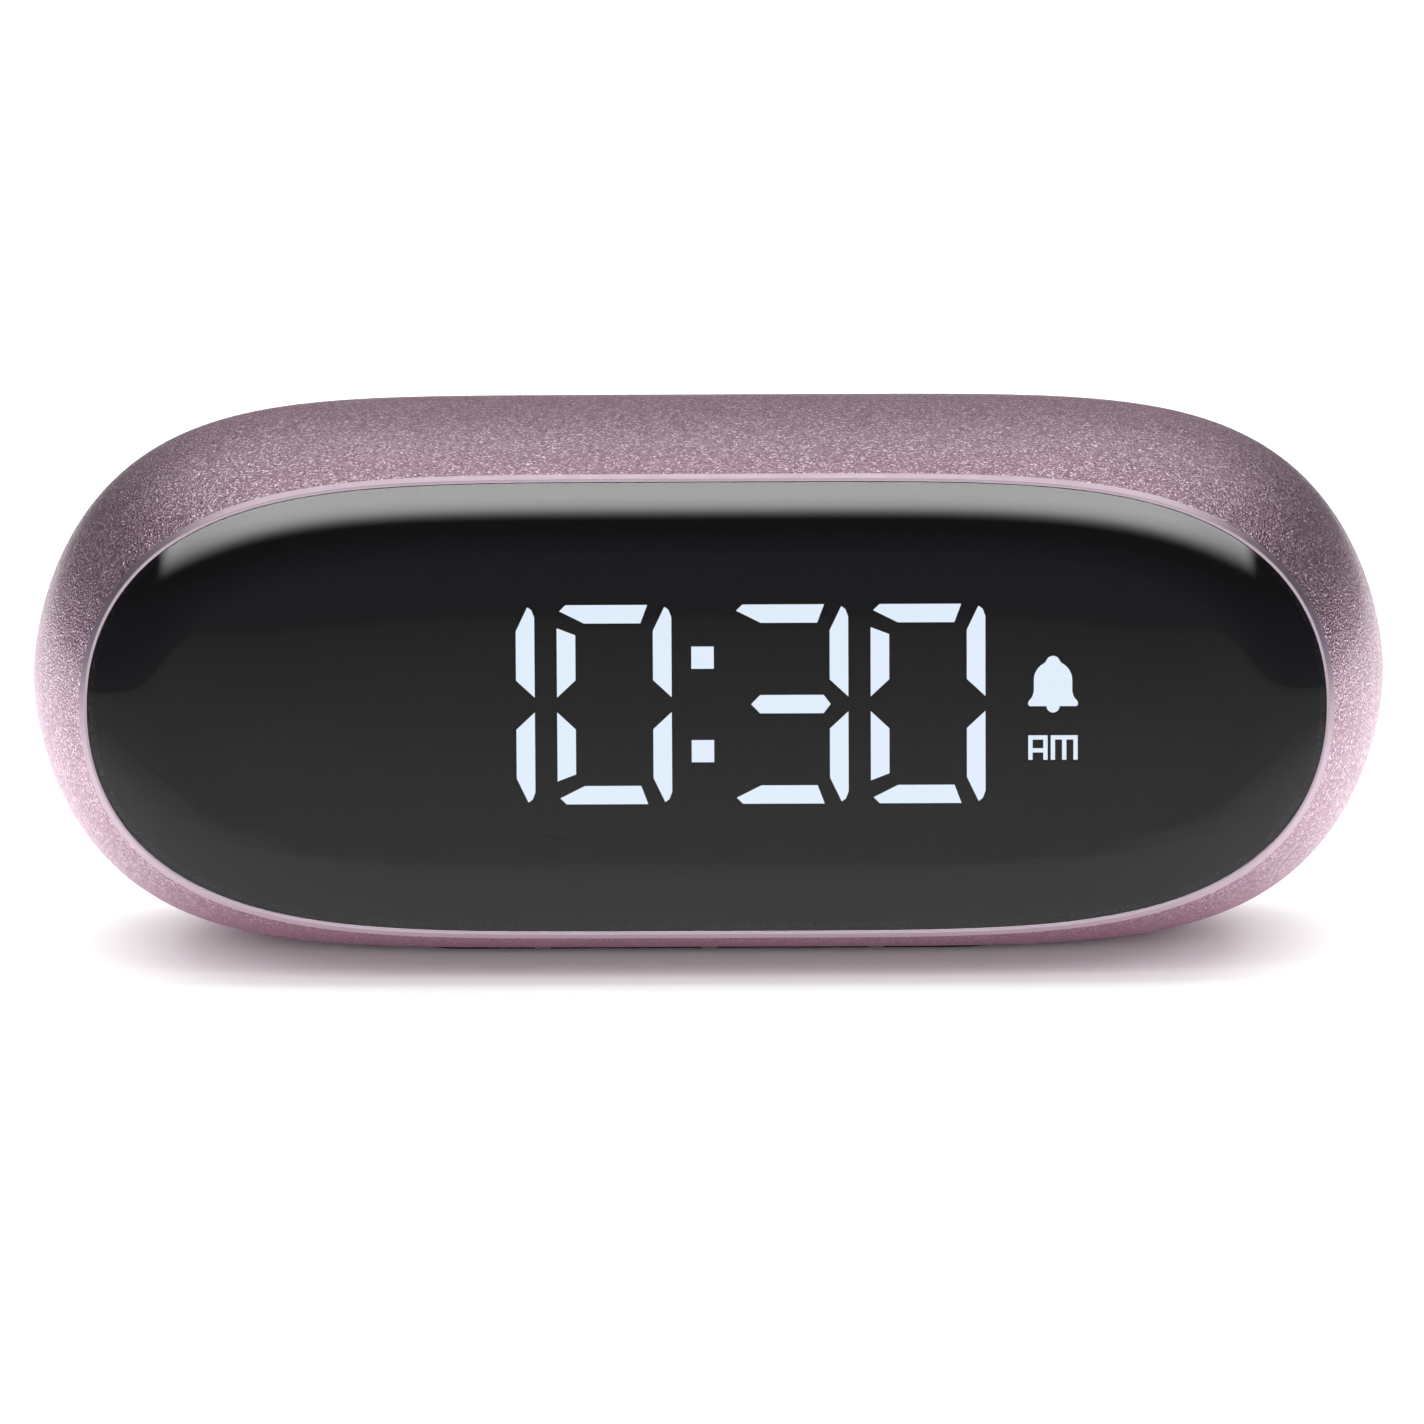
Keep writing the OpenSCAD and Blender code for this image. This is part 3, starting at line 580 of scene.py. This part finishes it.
def build_flags():
    """Grey studio flags that keep the bright far floor out of the window: a veil that
    thickens outwards over the floor, and a low card at its end."""
    inner, outer = 0.05, 0.28         # distances of the veil's edges from the origin
    lift, high = 0.3 * MM, 0.11       # the veil's height over the floor, and the card's height
    veil = Look("flag_veil", (0.0, 0.0, 0.0), 1.0)
    veil.set("Specular IOR Level", 0.0)
    reach = veil.node("ShaderNodeVectorMath", operation="LENGTH")
    veil.link(veil.coords, reach.inputs[0])
    share = veil.node("ShaderNodeMapRange")
    share.inputs["From Min"].default_value = inner
    share.inputs["From Max"].default_value = outer
    veil.link(reach.outputs["Value"], share.inputs["Value"])
    veil.feed("Alpha", veil.ramp(share.outputs["Result"], [(0.0, 0.0), (0.35, 0.35), (1.0, 0.62)]))
    bent_sheet("flag_veil", (inner, lift), (outer, lift), veil.mat)
    card = Look("flag_card", (0.0, 0.0, 0.0), 1.0)
    card.set("Specular IOR Level", 0.0)
    card.feed("Emission Color", card.ramp(card.height(0.0, high), [
        (0.0, (0.50, 0.52, 0.56)), (0.3, (0.32, 0.34, 0.40)), (1.0, (0.17, 0.18, 0.22)),
    ]))
    card.set("Emission Strength", 1.0)
    bent_sheet("flag_card", (outer, 0.0), (outer, high), card.mat)


def light_scene(shell, window, floor):
    """Soft studio light: softboxes in front, behind and above that show in the gloss, a low
    fill for the window, wide lights for the floor and a dim room."""
    add_light("window_softbox", (0, -0.498, 0.646), (0, 0, 0.02), (1.3, 0.68), 16.5, (0.08, 0.42),
              "gloss", only=window)
    add_light("window_fill", (0, -0.015, 0.0006), (0, -0.015, 1), (0.3, 0.09), 1.3, (0.1, 0.5),
              "gloss", only=window)
    add_light("front_softbox", (0, -0.55, 0.60), (0, 0, 0.02), (1.0, 0.4), 3.6, (0.3, 0.3),
              "gloss")
    add_light("back_softbox", (0, 0.42, 0.43), (0, 0, 0.03), (0.80, 0.44), 1.15, (0.2, 0.3),
              "gloss")
    add_light("floor_front", (0, -0.7, 0.45), (0, 0, 0), (2.2, 0.7), 1.9, (0, 0), "matte")
    add_light("top_softbox", (0, -0.1, 0.8), (0, -0.1, 0), (1.6, 0.3), 5.5, (0.2, 0.2), "gloss",
              only=shell)
    add_light("floor_low", (0, -0.9, 0.18), (0, 0, 0), (2.0, 0.12), 16, (0, 0), "matte",
              only=floor)
    for side, x in (("left", -0.22), ("right", 0.22)):
        add_light("floor_" + side, (x, -0.02, 0.12), (x, -0.02, 0), (0.2, 0.5), 1.2, (0, 0),
                  "matte")
    add_light("floor_behind", (0, 0.6, 0.9), (0, 0.6, 0), (1.8, 1.6), 2.8, (0, 0), "matte")
    world = bpy.data.worlds.new("studio")
    bpy.context.scene.world = world
    world.use_nodes = True
    back = world.node_tree.nodes["Background"]
    back.inputs["Color"].default_value = (1, 1, 1, 1)
    back.inputs["Strength"].default_value = 0.13


def add_camera():
    """The photograph's view: slightly above, nearly square on."""
    distance = 0.7
    elevation = math.radians(8.3)
    azimuth = math.radians(0.46)
    roll = math.radians(-0.29)
    centre = Vector((0, 0, AXIS_Z))
    away = Vector((
        math.sin(azimuth) * math.cos(elevation),
        -math.cos(azimuth) * math.cos(elevation),
        math.sin(elevation),
    ))
    place = centre + distance * away
    facing = (-away).to_track_quat("-Z", "Y").to_matrix()
    # the clock stands a little above and left of the frame's middle
    aim = centre + facing @ Vector((0.22 * MM, -2.88 * MM, 0))
    turn = (aim - place).to_track_quat("-Z", "Y").to_matrix().to_4x4()
    data = bpy.data.cameras.new("camera")
    data.sensor_width = 36
    data.lens = 268
    data.clip_start = 0.01
    data.clip_end = 20
    camera = bpy.data.objects.new("camera", data)
    camera.matrix_world = Matrix.Translation(place) @ turn @ Matrix.Rotation(roll, 4, "Z")
    bpy.context.scene.collection.objects.link(camera)
    bpy.context.scene.camera = camera


# ---------------------------------------------------------------- the scene

bpy.context.scene.view_settings.view_transform = "Standard"
add_camera()
paint_nodes()
shell = build_shell()
window = build_window()
floor = build_floor()
build_flags()
light_scene(shell, window, floor)
